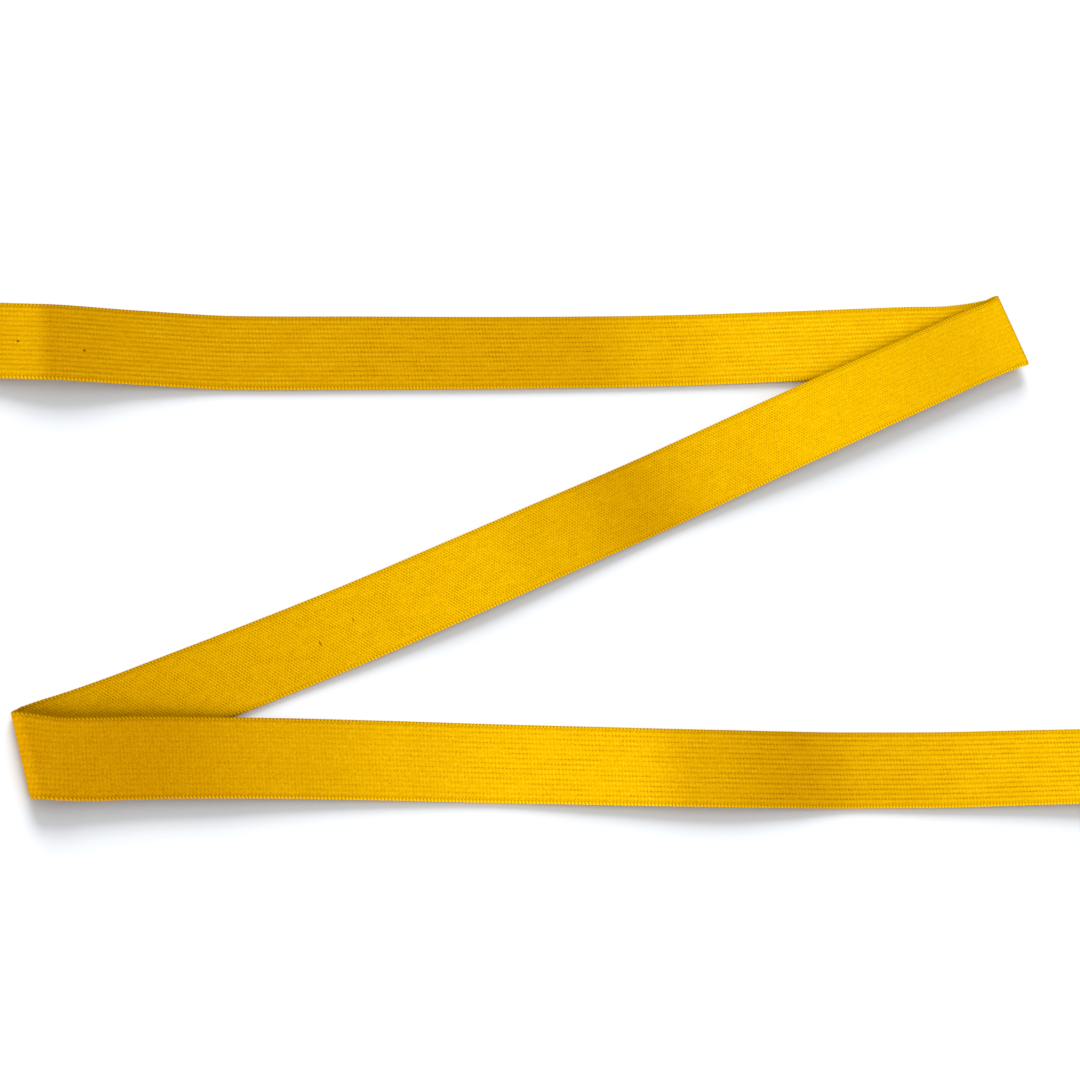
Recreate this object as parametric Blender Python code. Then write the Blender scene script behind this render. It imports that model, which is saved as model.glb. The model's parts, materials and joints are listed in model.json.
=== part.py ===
"""A ribbed knit belt laid out flat in a Z: three runs of one strap, joined by two folds.

Metres, +Z up. The origin is on the ground in the middle of the footprint, and +X runs along the
outer runs. The strap is followed from its upper end to its lower end. Every piece of strap holds
five layers: a ribbed face knit, the filling that raises its ribs, a flat back knit and a selvedge
cord at either side. The strap bends at the gaps between its eleven pieces. A whole run turns about
one line inside its fold, and the two short pieces of the fold lie down along with it.
"""

import math

import bmesh
import bpy
from mathutils import Matrix, Vector

# Strap section, with x towards the strap's left edge and y towards its ribbed face.
WIDTH = 0.040
HALF_THICKNESS = 0.0012
RIB_COUNT = 14
RIB_PITCH = 0.00258
KNIT_HALF_WIDTH = 0.0188
FACE_INNER = 0.00040
FACE_GROOVE = 0.00080
FILLING_TOP = 0.00020
FILLING_GROOVE = -0.00020
FILLING_BOTTOM = -0.00045
BACK_INNER = -0.00065
SELVEDGE_RADIUS = 0.0005
SELVEDGE_SIDES = 6

# Where the strap bends: play between neighbours, and half of the tightest bend at each side.
HINGE_PLAY = 0.00012
FOLD_TURN = math.radians(90)
FOLD_CLEARANCE = math.radians(0.5)
CURL_TO_FACE = math.radians(34)
CURL_TO_BACK = math.radians(18)
SPARE = 0.004

# The two folds: middle radius, direction of the crease and heading of the strap that runs in.
RIGHT_FOLD_RADIUS = 0.0020
RIGHT_CREASE = math.radians(107.0)
RIGHT_HEADING = math.radians(12.4)
LEFT_FOLD_RADIUS = 0.0040
LEFT_CREASE = math.radians(99.8)
LEFT_HEADING = math.radians(208.0)
LEAD = 0.014

# Middle line of each run in millimetres: x, y and height. The last point of the upper and the
# middle run is where a fold starts, and the first point of the next run follows from that fold.
UPPER_END = [(-317, 98.5, 5.6), (-284, 98, 5.6), (-251, 96.5, 9)]
UPPER_RUN = [
    (-251, 96.5, 9),
    (-209, 97, 4.5),
    (-159, 97.5, 1.2),
    (-89, 100, 1.2),
    (-9, 103, 1.2),
    (71, 107, 1.2),
    (151, 112.5, 1.8),
    (216, 118, 3.2),
    (274.3, 123.7, 3.6),
]
MIDDLE_RUN = [
    (211, 96, 7.2),
    (151, 69, 6.4),
    (91, 42, 3.8),
    (51, 24, 2.4),
    (1, 2, 3.4),
    (-49, -20, 4.2),
    (-109, -45.5, 2.4),
    (-159, -65.5, 1.2),
    (-219, -89, 1.2),
    (-276.1, -112.8, 1.2),
]
LOWER_RUN = [
    (-219, -114.5, 7.4),
    (-159, -115, 4.6),
    (-99, -116, 2.2),
    (-49, -117.5, 1.2),
    (11, -120, 3.2),
    (71, -122.5, 5.4),
    (106, -123, 3.8),
    (146, -123, 1.2),
    (196, -123.5, 2.2),
    (251, -123.5, 4),
]
LOWER_END = [(251, -123.5, 4), (284, -123.5, 5.2), (317, -123, 5.2)]

# Hem at each end of the strap.
HEM_LENGTH = 0.014
HEM_THICKNESS = 0.0010
HEM_GAP = 0.0003
THREAD_INSET = 0.003
THREAD_RADIUS = 0.00018

MATERIALS = {
    "face_knit": ((0.72, 0.33, 0.003), 0.9),
    "back_knit": ((0.82, 0.40, 0.004), 0.85),
    "rib_filling": ((0.80, 0.60, 0.25), 0.7),
    "left_selvedge": ((0.88, 0.48, 0.01), 0.8),
    "right_selvedge": ((0.88, 0.48, 0.01), 0.8),
    "hem_flap": ((0.82, 0.40, 0.004), 0.85),
    "hem_thread": ((0.90, 0.52, 0.02), 0.5),
}

UP = Vector((0, 0, 1))


def heading(angle):
    """Level direction at an angle from +X."""
    return Vector((math.cos(angle), math.sin(angle), 0))


def metres(points):
    return [Vector(point) / 1000 for point in points]


def fold_points(start, travel, crease, radius):
    """Start, middle and end of the upright part of a fold that turns the strap up and over."""
    along = heading(crease)
    out = along.cross(UP)
    skew = travel.dot(along) / travel.dot(out)
    if out.dot(travel) < 0:
        skew = -skew
    rise = (UP + along * skew) * radius
    return [start, start + rise, start + rise * 2]


def square_across(before, after):
    """Level direction across the strap, towards +Y, between two points of its middle line."""
    travel = (after - before).normalized()
    across = UP.cross(travel).normalized()
    if across.y < 0:
        across.negate()
    return across


class Hinge:
    """A line across the strap: a point on it, its direction towards +Y, and the room to bend."""

    def __init__(self, point, axis, to_face, to_back):
        self.point = point
        self.axis = axis
        self.to_face = to_face
        self.to_back = to_back


class Piece:
    """One rigid piece of strap: the points of its middle line, and the hinges at its two ends."""

    def __init__(self, name, points, start, end):
        self.name = name
        self.points = points
        self.start = start
        self.end = end


def curl_hinge(points, index):
    axis = square_across(points[index - 1], points[index + 1])
    return Hinge(points[index], axis, CURL_TO_FACE, CURL_TO_BACK)


def laid_out_strap():
    """The eleven pieces, from the upper end of the strap to its lower end."""
    upper_end = metres(UPPER_END)
    upper_run = metres(UPPER_RUN)
    middle_run = metres(MIDDLE_RUN)
    lower_run = metres(LOWER_RUN)
    lower_end = metres(LOWER_END)

    right_start = upper_run[-1]
    right_in = heading(RIGHT_HEADING)
    right = fold_points(right_start, right_in, RIGHT_CREASE, RIGHT_FOLD_RADIUS)
    right_out = heading(2 * RIGHT_CREASE - RIGHT_HEADING)
    left_start = middle_run[-1]
    left_in = heading(LEFT_HEADING)
    left = fold_points(left_start, left_in, LEFT_CREASE, LEFT_FOLD_RADIUS)
    left_out = heading(2 * LEFT_CREASE - LEFT_HEADING)

    upper_run.insert(-1, right_start - right_in * LEAD)
    middle_run = [right[-1], right[-1] + right_out * LEAD] + middle_run
    middle_run.insert(-1, left_start - left_in * LEAD)
    lower_run = [left[-1], left[-1] + left_out * LEAD] + lower_run

    mitre = FOLD_TURN / 2 + FOLD_CLEARANCE
    hinges = []
    whole_upper = upper_end + upper_run[1:]
    for index in (1, 2):
        hinges.append(curl_hinge(whole_upper, index))
    for point, angle in zip(right, (mitre, 0, mitre)):
        hinges.append(Hinge(point, heading(RIGHT_CREASE), angle, 0))
    for point, angle in zip(left, (mitre, 0, mitre)):
        hinges.append(Hinge(point, heading(LEFT_CREASE), 0, angle))
    whole_lower = lower_run[:-1] + lower_end
    for index in (len(lower_run) - 1, len(lower_run)):
        hinges.append(curl_hinge(whole_lower, index))

    lines = [upper_end[0:2], upper_end[1:3], upper_run]
    lines += [right[0:2], right[1:3], middle_run]
    lines += [left[0:2], left[1:3], lower_run]
    lines += [lower_end[0:2], lower_end[1:3]]
    names = ["upper_end_tip", "upper_end_root", "upper_run"]
    names += ["right_fold_near", "right_fold_far", "middle_run"]
    names += ["left_fold_near", "left_fold_far", "lower_run"]
    names += ["lower_end_root", "lower_end_tip"]
    starts = [None] + hinges
    ends = hinges + [None]
    return [Piece(*parts) for parts in zip(names, lines, starts, ends)]


def fold_line(near, far, travel):
    """The line that the next run turns about, so that both short pieces end in line with it."""
    axis = near.start.axis
    out = axis.cross(UP)
    if out.dot(travel) < 0:
        out.negate()
    radius = (far.end.point.z - near.start.point.z) / 2
    return Hinge(near.end.point + out * radius, axis, 0, 0)


def held_pieces(strap):
    """Each piece by its name, with the piece that holds it and the hinge between them."""
    held = {"upper_run": (None, None)}
    held["upper_end_root"] = ("upper_run", strap["upper_end_root"].end)
    held["upper_end_tip"] = ("upper_end_root", strap["upper_end_tip"].end)
    for side, before, after in (
        ("right_fold", "upper_run", "middle_run"),
        ("left_fold", "middle_run", "lower_run"),
    ):
        near = strap[side + "_near"]
        far = strap[side + "_far"]
        held[side + "_near"] = (before, near.start)
        travel = near.start.point - strap[before].points[-2]
        held[after] = (before, fold_line(near, far, travel))
        held[side + "_far"] = (after, far.end)
    held["lower_end_root"] = ("lower_run", strap["lower_end_root"].start)
    held["lower_end_tip"] = ("lower_end_root", strap["lower_end_tip"].start)
    return held


def rib_centre(index):
    return (index - (RIB_COUNT - 1) / 2) * RIB_PITCH


def ridged(top, groove, bottom):
    """Outline with a flat bottom and one ridge for each rib."""
    points = [(KNIT_HALF_WIDTH, bottom), (KNIT_HALF_WIDTH, groove)]
    for index in reversed(range(RIB_COUNT)):
        points.append((rib_centre(index) + RIB_PITCH / 2, groove))
        points.append((rib_centre(index), top))
    points.append((rib_centre(0) - RIB_PITCH / 2, groove))
    points.append((-KNIT_HALF_WIDTH, groove))
    points.append((-KNIT_HALF_WIDTH, bottom))
    return points


def flat(bottom, top):
    left = KNIT_HALF_WIDTH
    return [(-left, bottom), (left, bottom), (left, top), (-left, top)]


def cord(side):
    """Round cord in the selvedge at one side."""
    middle = side * (WIDTH / 2 - SELVEDGE_RADIUS)
    turns = [2 * math.pi * (count + 0.5) / SELVEDGE_SIDES for count in range(SELVEDGE_SIDES)]
    return [
        (middle + SELVEDGE_RADIUS * math.cos(turn), SELVEDGE_RADIUS * math.sin(turn))
        for turn in turns
    ]


LAYERS = {
    "face_knit": ridged(HALF_THICKNESS, FACE_GROOVE, FACE_INNER),
    "rib_filling": ridged(FILLING_TOP, FILLING_GROOVE, FILLING_BOTTOM),
    "back_knit": flat(-HALF_THICKNESS, BACK_INNER),
    "left_selvedge": cord(1),
    "right_selvedge": cord(-1),
}


def new_curve(name, dimensions, places, cyclic):
    curve = bpy.data.curves.new(name, "CURVE")
    curve.dimensions = dimensions
    spline = curve.splines.new("POLY")
    spline.points.add(len(places) - 1)
    for point, place in zip(spline.points, places):
        point.co = (*place, 0, 1) if dimensions == "2D" else (*place, 1)
    spline.use_cyclic_u = cyclic
    guide = bpy.data.objects.new(name, curve)
    guide.hide_render = True
    guide.display_type = "WIRE"
    bpy.data.collections["guides"].objects.link(guide)
    return guide


def mesh_of(guide):
    """The guide's evaluated mesh in world space, with its caps welded."""
    bpy.context.view_layer.update()
    graph = bpy.context.evaluated_depsgraph_get()
    mesh = bpy.data.meshes.new_from_object(guide.evaluated_get(graph))
    mesh.transform(guide.matrix_world)
    shape = bmesh.new()
    shape.from_mesh(mesh)
    bpy.data.meshes.remove(mesh)
    bmesh.ops.remove_doubles(shape, verts=shape.verts, dist=1e-6)
    return shape


def swept(name, outline, points):
    """The outline carried along a line of points, upright all the way, with its x to the right."""
    section = new_curve(name + "_section", "2D", outline, True)
    rail = new_curve(name + "_rail", "3D", points, False)
    rail.data.twist_mode = "Z_UP"
    rail.data.bevel_mode = "OBJECT"
    rail.data.bevel_object = section
    rail.data.use_fill_caps = True
    shape = mesh_of(rail)
    for guide in (rail, section):
        bpy.data.objects.remove(guide)
    return shape


def extruded(name, outline, frame, start, end):
    """The outline made into a straight bar along the frame's z axis, from start to end."""
    guide = new_curve(name + "_outline", "2D", outline, True)
    guide.data.fill_mode = "BOTH"
    guide.data.extrude = (end - start) / 2
    guide.matrix_world = frame @ Matrix.Translation((0, 0, (start + end) / 2))
    shape = mesh_of(guide)
    bpy.data.objects.remove(guide)
    return shape


def cut_away(shape, point, outward):
    """Removes what lies beyond a plane, and closes the cut."""
    geometry = shape.verts[:] + shape.edges[:] + shape.faces[:]
    bmesh.ops.bisect_plane(
        shape, geom=geometry, plane_co=point, plane_no=outward, clear_outer=True
    )
    rim = [edge for edge in shape.edges if edge.is_boundary]
    bmesh.ops.holes_fill(shape, edges=rim, sides=0)


def cut_to_hinge(shape, hinge, travel, outward_sign):
    """Ends the strap just short of a hinge, with room to bend towards either side."""
    face = travel.cross(hinge.axis).normalized()
    outward = hinge.axis.cross(face).normalized() * outward_sign
    stop = hinge.point - outward * HINGE_PLAY
    for angle, side in ((hinge.to_face, face), (hinge.to_back, -face)):
        cut_away(shape, stop, outward * math.cos(angle) + side * math.sin(angle))


def strap_frame(piece):
    """Frame of a straight piece: x to its left edge, y to its ribbed face, z along the strap."""
    travel = (piece.points[1] - piece.points[0]).normalized()
    hinge = piece.start or piece.end
    face = travel.cross(hinge.axis).normalized()
    left = face.cross(travel)
    frame = Matrix((left, face, travel)).transposed().to_4x4()
    frame.translation = piece.points[0]
    return frame


def layer_shape(piece, layer):
    """One layer of one piece, in world space."""
    name = piece.name + "_" + layer
    outline = LAYERS[layer]
    points = piece.points
    first = (points[1] - points[0]).normalized()
    last = (points[-1] - points[-2]).normalized()
    if len(points) == 2:
        before = SPARE if piece.start else 0
        after = SPARE if piece.end else 0
        length = (points[1] - points[0]).length
        shape = extruded(name, outline, strap_frame(piece), -before, length + after)
    else:
        face_up = first.cross(piece.start.axis).z > 0
        turned = [(-x, y) if face_up else (x, -y) for x, y in outline]
        longer = [points[0] - first * SPARE] + points[1:-1] + [points[-1] + last * SPARE]
        shape = swept(name, turned, longer)
    if piece.start:
        cut_to_hinge(shape, piece.start, first, -1)
    if piece.end:
        cut_to_hinge(shape, piece.end, last, 1)
    return shape


def finished_material(layer):
    name = layer + "_material"
    if name in bpy.data.materials:
        return bpy.data.materials[name]
    colour, roughness = MATERIALS[layer]
    material = bpy.data.materials.new(name)
    material.use_nodes = True
    shader = material.node_tree.nodes["Principled BSDF"]
    shader.inputs["Base Color"].default_value = (*colour, 1)
    shader.inputs["Roughness"].default_value = roughness
    shader.inputs["Metallic"].default_value = 0
    return material


def add_part(name, shape, layer, pivot, pivot_frame):
    """Makes one object of a world-space shape, held by its body's pivot."""
    bmesh.ops.recalc_face_normals(shape, faces=shape.faces)
    shape.transform(pivot_frame.inverted())
    mesh = bpy.data.meshes.new(name)
    shape.to_mesh(mesh)
    shape.free()
    mesh.materials.append(finished_material(layer))
    part = bpy.data.objects.new(name, mesh)
    part.parent = pivot
    bpy.data.collections["martial_arts_belt"].objects.link(part)


def add_pivot(name, frame, parent, parent_frame):
    """An empty on a body's joint, with its x axis along the joint's axis."""
    pivot = bpy.data.objects.new(name + "_pivot", None)
    pivot.empty_display_size = WIDTH / 2
    pivot.parent = parent
    pivot.matrix_basis = parent_frame.inverted() @ frame
    bpy.data.collections["martial_arts_belt"].objects.link(pivot)
    return pivot


def hinge_frame(hinge):
    side = UP.cross(hinge.axis).normalized()
    frame = Matrix((hinge.axis, side, UP)).transposed().to_4x4()
    frame.translation = hinge.point
    return frame


def hem_frame(piece):
    """Frame at the strap's free end: x across it, y to its ribbed face, z away from the end."""
    frame = strap_frame(piece)
    if piece.start:
        length = (piece.points[1] - piece.points[0]).length
        frame = frame @ Matrix.Translation((0, 0, length)) @ Matrix.Rotation(math.pi, 4, "Y")
    return frame


def hem_flap(frame):
    """The end of the strap, turned under and flat below the back knit."""
    top = -HALF_THICKNESS - HEM_GAP
    shape = bmesh.new()
    bmesh.ops.create_cube(shape, size=1)
    bmesh.ops.scale(shape, vec=(2 * KNIT_HALF_WIDTH, HEM_THICKNESS, HEM_LENGTH), verts=shape.verts)
    middle = (0, top - HEM_THICKNESS / 2, HEM_LENGTH / 2)
    bmesh.ops.translate(shape, vec=middle, verts=shape.verts)
    shape.transform(frame)
    return shape


def hem_thread(frame):
    """The line of thread that is sewn round the hem."""
    across = KNIT_HALF_WIDTH - THREAD_INSET
    height = HALF_THICKNESS + 1.3 * THREAD_RADIUS
    corners = [
        (across, height, THREAD_INSET),
        (-across, height, THREAD_INSET),
        (-across, height, HEM_LENGTH - THREAD_INSET),
        (across, height, HEM_LENGTH - THREAD_INSET),
    ]
    guide = new_curve("hem_thread_line", "3D", corners, True)
    guide.data.bevel_depth = THREAD_RADIUS
    guide.data.bevel_resolution = 0
    guide.matrix_world = frame
    shape = mesh_of(guide)
    bpy.data.objects.remove(guide)
    return shape


def build():
    for item in list(bpy.data.objects):
        bpy.data.objects.remove(item)
    for name in ("martial_arts_belt", "guides"):
        collection = bpy.data.collections.new(name)
        bpy.context.scene.collection.children.link(collection)

    strap = {piece.name: piece for piece in laid_out_strap()}
    frames = {None: Matrix.Identity(4)}
    pivots = {None: None}
    for name, (holder, hinge) in held_pieces(strap).items():
        frames[name] = hinge_frame(hinge) if hinge else Matrix.Identity(4)
        pivots[name] = add_pivot(name, frames[name], pivots[holder], frames[holder])

    for name, piece in strap.items():
        held_by = (pivots[name], frames[name])
        for layer in LAYERS:
            add_part(name + "_" + layer, layer_shape(piece, layer), layer, *held_by)
        if piece.start is None or piece.end is None:
            frame = hem_frame(piece)
            for layer, maker in (("hem_flap", hem_flap), ("hem_thread", hem_thread)):
                add_part(name + "_" + layer, maker(frame), layer, *held_by)


build()
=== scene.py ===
import json
import math

import bpy
import numpy as np
from mathutils import Matrix, Vector

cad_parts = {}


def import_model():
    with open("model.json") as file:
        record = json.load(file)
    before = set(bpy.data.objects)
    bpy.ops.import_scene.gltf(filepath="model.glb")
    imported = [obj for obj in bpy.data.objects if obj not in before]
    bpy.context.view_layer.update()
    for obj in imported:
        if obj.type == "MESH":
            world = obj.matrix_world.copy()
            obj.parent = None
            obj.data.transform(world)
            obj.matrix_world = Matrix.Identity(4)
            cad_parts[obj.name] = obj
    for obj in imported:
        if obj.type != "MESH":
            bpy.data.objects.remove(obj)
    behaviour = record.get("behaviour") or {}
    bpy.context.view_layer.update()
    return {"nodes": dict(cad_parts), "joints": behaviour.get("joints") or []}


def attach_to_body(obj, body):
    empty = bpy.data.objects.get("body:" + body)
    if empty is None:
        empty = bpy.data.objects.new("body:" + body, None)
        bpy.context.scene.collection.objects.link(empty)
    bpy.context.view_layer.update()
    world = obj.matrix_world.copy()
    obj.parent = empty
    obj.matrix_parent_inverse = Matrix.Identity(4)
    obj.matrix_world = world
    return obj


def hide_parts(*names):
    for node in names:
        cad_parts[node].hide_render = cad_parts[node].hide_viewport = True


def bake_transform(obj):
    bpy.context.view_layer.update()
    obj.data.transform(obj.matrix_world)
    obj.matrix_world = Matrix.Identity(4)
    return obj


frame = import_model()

MM = 0.001
UP = np.array([0.0, 0.0, 1.0])

# Strap section in metres: v runs to the left edge, w to the ribbed face.
RIB_COUNT = 14
RIB_PITCH = 2.58 * MM
RIB_STEPS = (0.0, 0.10, 0.26, 0.5, 0.74, 0.90)
RIB_FULLNESS = 0.75
COURSE = 1.8 * MM
GROOVE = 1.03 * MM
RIDGE = 0.12 * MM
CREST = GROOVE + RIDGE
BACK = -1.12 * MM
BACK_FLAT = 18.2 * MM
BACK_COLUMNS = 29
LAYER_GAP = 0.02 * MM
HALF_WIDTH = 20 * MM
KNIT_EDGE = 18.70 * MM

# Places across and heights of the knit where it rounds down to its edge.
FACE_ROUNDING = ((KNIT_EDGE, 0.84 * MM), (18.50 * MM, 0.96 * MM), (18.25 * MM, 1.02 * MM))
BACK_ROUNDING = ((KNIT_EDGE, -0.84 * MM), (18.50 * MM, -0.98 * MM), (18.35 * MM, -1.07 * MM))

# Whipped edge cords.
CORD_MIDDLE = 19.02 * MM
CORD_RADIUS = 0.90 * MM
CORD_SIDES = 18
YARN_RISE = 0.26 * MM
YARN_ROUNDNESS = 0.7
YARN_LEAN = 0.6

# Spacing of the mesh's rows on the runs, in the bends and on the cords.
ROW_RUN = 0.45 * MM
ROW_BEND = 0.30 * MM
ROW_CORD = 0.225 * MM
LINE_STEP = 0.25 * MM
ROW_MATCH = 1e-9
SHARP_ANGLE = 62

# How the strap lies: straight leads at the folds, its slides along the creases, how far the
# round bends reach past their hinge lines, and the roll of the lower run beside the left fold.
LEAD = 12 * MM
FOLD_APPROACH = 14 * MM
LEFT_HEADING = 205.5
RIGHT_SLIDES = (1.0 * MM, -0.4 * MM)
LEFT_SLIDES = (-0.2 * MM, 0.7 * MM)
BULGES = (1.1 * MM, 1.0 * MM)
LOWER_ROLL = (3.0, 14 * MM, 32 * MM, 42 * MM, 102 * MM)

# Lengths of strap that bend: halves of the free ends' bends, borders beside the folds, the
# gap between the halves of a fold, and where a fold's turning starts beside its hinge.
BEND_ZONE = 9 * MM
ROOT_MARGIN = 3 * MM
FOLD_BORDER = 1 * MM
SEAM = 0.02 * MM
FOLD_TURN = 1.2 * MM
RING_SPACING = 3 * MM

nodes = frame["nodes"]
joints = {joint["name"]: joint for joint in frame["joints"]}


def place_of(joint):
    """Place of a joint, in metres."""
    return np.array(joints[joint]["pos_m"], float)


def unit(vector):
    """The vector's direction, one metre long."""
    return vector / np.linalg.norm(vector)


def ramp(value, low, high):
    """0 below low, 1 above high, smooth between."""
    share = np.clip((value - low) / (high - low), 0, 1)
    return share * share * (3 - 2 * share)


def cord_rings(body):
    """Middle of the strap at each ring of a body's edge cords, from low to high x."""
    sides = []
    for side in ("left", "right"):
        mesh = nodes[f"{body}_{side}_selvedge"].data
        corners = np.array([vertex.co for vertex in mesh.vertices], float)
        corners = np.unique(np.round(corners, 7), axis=0)
        breaks = np.nonzero(np.diff(corners[:, 0]) > RING_SPACING)[0] + 1
        sides.append([group.mean(axis=0) for group in np.split(corners, breaks)])
    return [(left + right) / 2 for left, right in zip(*sides)]


class Path:
    """Smooth middle line through points, straight and level over its leads to the folds."""

    def __init__(self, points, lead_first, lead_last):
        points = np.array(points, float)
        steps = np.diff(points, axis=0)
        spans = np.linalg.norm(steps[:, :2], axis=1)
        slopes = steps / spans[:, None]
        tangents = np.zeros_like(points)
        for i in range(1, len(points) - 1):
            before, after = spans[i - 1], spans[i]
            tangents[i] = (slopes[i - 1] * after + slopes[i] * before) / (before + after)
            tangents[i, 2] = 0
            if slopes[i - 1, 2] * slopes[i, 2] > 0:
                one, two = 2 * after + before, after + 2 * before
                tangents[i, 2] = (one + two) / (one / slopes[i - 1, 2] + two / slopes[i, 2])
        tangents[0], tangents[-1] = slopes[0], slopes[-1]
        if lead_first:
            tangents[1] = slopes[0]
        if lead_last:
            tangents[-2] = slopes[-1]
        line = [points[:1]]
        for i, span in enumerate(spans):
            u = np.linspace(0, 1, max(8, int(span / LINE_STEP)))[1:, None]
            line.append(
                (2 * u**3 - 3 * u**2 + 1) * points[i]
                + (u**3 - 2 * u**2 + u) * span * tangents[i]
                + (3 * u**2 - 2 * u**3) * points[i + 1]
                + (u**3 - u**2) * span * tangents[i + 1]
            )
        self.line = np.concatenate(line)
        lengths = np.linalg.norm(np.diff(self.line, axis=0), axis=1)
        self.s = np.concatenate([[0], np.cumsum(lengths)])
        self.travel = np.gradient(self.line, self.s, axis=0)
        self.length = self.s[-1]
        self.start = 0.0
        self.tilt = None

    def place(self, s, v, w):
        """Points of the strap; s, v and w are arrays of one shape."""
        local = s - self.start
        middle = np.stack([np.interp(local, self.s, self.line[:, k]) for k in range(3)], -1)
        travel = np.stack([np.interp(local, self.s, self.travel[:, k]) for k in range(3)], -1)
        travel /= np.linalg.norm(travel, axis=-1, keepdims=True)
        left = np.cross(UP, travel)
        left /= np.linalg.norm(left, axis=-1, keepdims=True)
        left *= np.sign(left[..., 1:2])
        face = np.cross(travel, left)
        if self.tilt:
            angle, rise, flat, fall, level = self.tilt
            share = ramp(local, rise, flat) * (1 - ramp(local, fall, level))
            turn = (math.radians(angle) * share)[..., None]
            left, face = (
                left * np.cos(turn) + face * np.sin(turn) * np.sign(face[..., 2:3]),
                face * np.cos(turn) - left * np.sin(turn) * np.sign(face[..., 2:3]),
            )
        return middle + left * v[..., None] + face * w[..., None]


class Fold:
    """The half-round bend of a fold, as a sheet rolled about a line along the crease."""

    def __init__(self, first, last, axis, travel, s_near, face_inside, bulge):
        along = np.array(axis, float)
        self.along = unit(along) * np.sign(along[1])
        out = np.cross(self.along, UP)
        self.out = out * np.sign(out @ travel)
        self.radius = (last[2] - first[2]) / 2
        self.inside = 1 if face_inside else -1
        self.travel = travel
        left = np.cross(UP, travel)
        self.left = left * np.sign(left[1])
        self.cos = travel @ self.out
        self.reach = (self.radius - bulge) / self.cos
        self.origin = first - travel * self.reach
        self.s0 = s_near - self.reach
        self.s1 = self.s0 + math.pi * self.radius / self.cos
        self.middle = (self.s0 + self.s1) / 2
        self.travel_out = travel - 2 * self.cos * self.out
        self.exit = last + self.travel_out * self.reach
        rolled = math.pi * self.radius * (travel @ self.along) / self.cos
        self.drift = (self.exit - self.origin) @ self.along - rolled
        self.shear = -(self.left @ self.out) / self.cos

    def place(self, s, v, w):
        """Points of the strap; s, v and w are arrays of one shape."""
        run = (s - self.s0) * self.cos + v * (self.left @ self.out)
        side = (s - self.s0) * (self.travel @ self.along) + v * (self.left @ self.along)
        turn = np.clip(run / self.radius, 0, math.pi)
        before = np.minimum(run, 0)
        after = np.maximum(run - math.pi * self.radius, 0)
        arm = self.radius - w * self.inside
        return (
            self.origin
            + self.along * (side + self.drift * turn / math.pi)[..., None]
            + self.out * (before + arm * np.sin(turn) - after)[..., None]
            + UP * (self.radius - arm * np.cos(turn))[..., None]
        )


def shifted(point, x, y, z):
    """The point moved by x, y and z millimetres."""
    return point + np.array([x, y, z]) * MM


def mirrored(travel, axis):
    """Direction of the strap after a fold about an axis."""
    out = np.cross(axis, UP)
    return travel - 2 * (travel @ out) * out


def laid_out():
    """The three paths and two folds of the strap, with their places along it."""
    right_axis = unit(np.array(joints["right_bend_near"]["axis"], float))
    left_axis = unit(np.array(joints["left_bend_near"]["axis"], float))
    right_axis *= np.sign(right_axis[1])
    left_axis *= np.sign(left_axis[1])

    rings = cord_rings("upper_run")[1:-1]
    fold_in = place_of("right_bend_near") + right_axis * RIGHT_SLIDES[0]
    upper = [cord_rings("upper_end_tip")[0]]
    upper += [place_of("upper_end_curl_b"), place_of("upper_end_curl_a")]
    upper += rings[:-2]
    near = rings[-2]
    upper += [shifted(near, -26, -2.8, -0.5), shifted(near, 0, -1.0, 0)]
    upper += [shifted(near, 24, 0.3, 0.4)]
    travel = unit(place_of("right_bend_near") - rings[-1])
    upper += [fold_in - travel * FOLD_APPROACH, fold_in]

    rings = cord_rings("middle_run")[-2:0:-1]
    fold_out = place_of("right_bend_far") + right_axis * RIGHT_SLIDES[1]
    middle = [fold_out] + [shifted(ring, 0, -0.4, 0) for ring in rings[:-1]]
    fold_in = place_of("left_bend_near") + left_axis * LEFT_SLIDES[0]
    heading = math.radians(LEFT_HEADING)
    travel = np.array([math.cos(heading), math.sin(heading), 0])
    middle += [fold_in - travel * FOLD_APPROACH, fold_in]

    rings = cord_rings("lower_run")[1:-1]
    fold_out = place_of("left_bend_far") + left_axis * LEFT_SLIDES[1]
    travel = mirrored(travel, left_axis)
    near = rings[1]
    lower = [fold_out, fold_out + travel * LEAD]
    lower += [shifted(near, -27, -1.7, 1.1), shifted(near, 0, -0.9, 0)]
    lower += [shifted(near, 29, -0.8, -1.2)]
    lower += [shifted(ring, 0, -0.3, 0) for ring in rings[2:]]
    lower += [place_of("lower_end_curl_a"), place_of("lower_end_curl_b")]
    lower += [cord_rings("lower_end_tip")[-1]]

    paths = [Path(upper, False, True), Path(middle, True, True), Path(lower, True, False)]
    paths[2].tilt = LOWER_ROLL
    folds = []
    for i, side in enumerate(("right", "left")):
        path, after = paths[i], paths[i + 1]
        fold = Fold(
            path.line[-1],
            after.line[0],
            joints[side + "_bend_near"]["axis"],
            unit(path.line[-1] - path.line[-2]),
            path.start + path.length,
            i == 0,
            BULGES[i],
        )
        after.start = fold.s1 - fold.reach
        folds.append(fold)
    return paths, folds


paths, folds = laid_out()
TOTAL = paths[2].start + paths[2].length

# Stretches of the strap, from start to end: the paths, and the folds with their leads.
ZONES = []
for i, path in enumerate(paths):
    low = path.start + (LEAD if i > 0 else 0)
    high = path.start + path.length - (LEAD if i < 2 else 0)
    ZONES.append((low, high, path))
    if i < 2:
        ZONES.append((high, paths[i + 1].start + LEAD, folds[i]))


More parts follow.
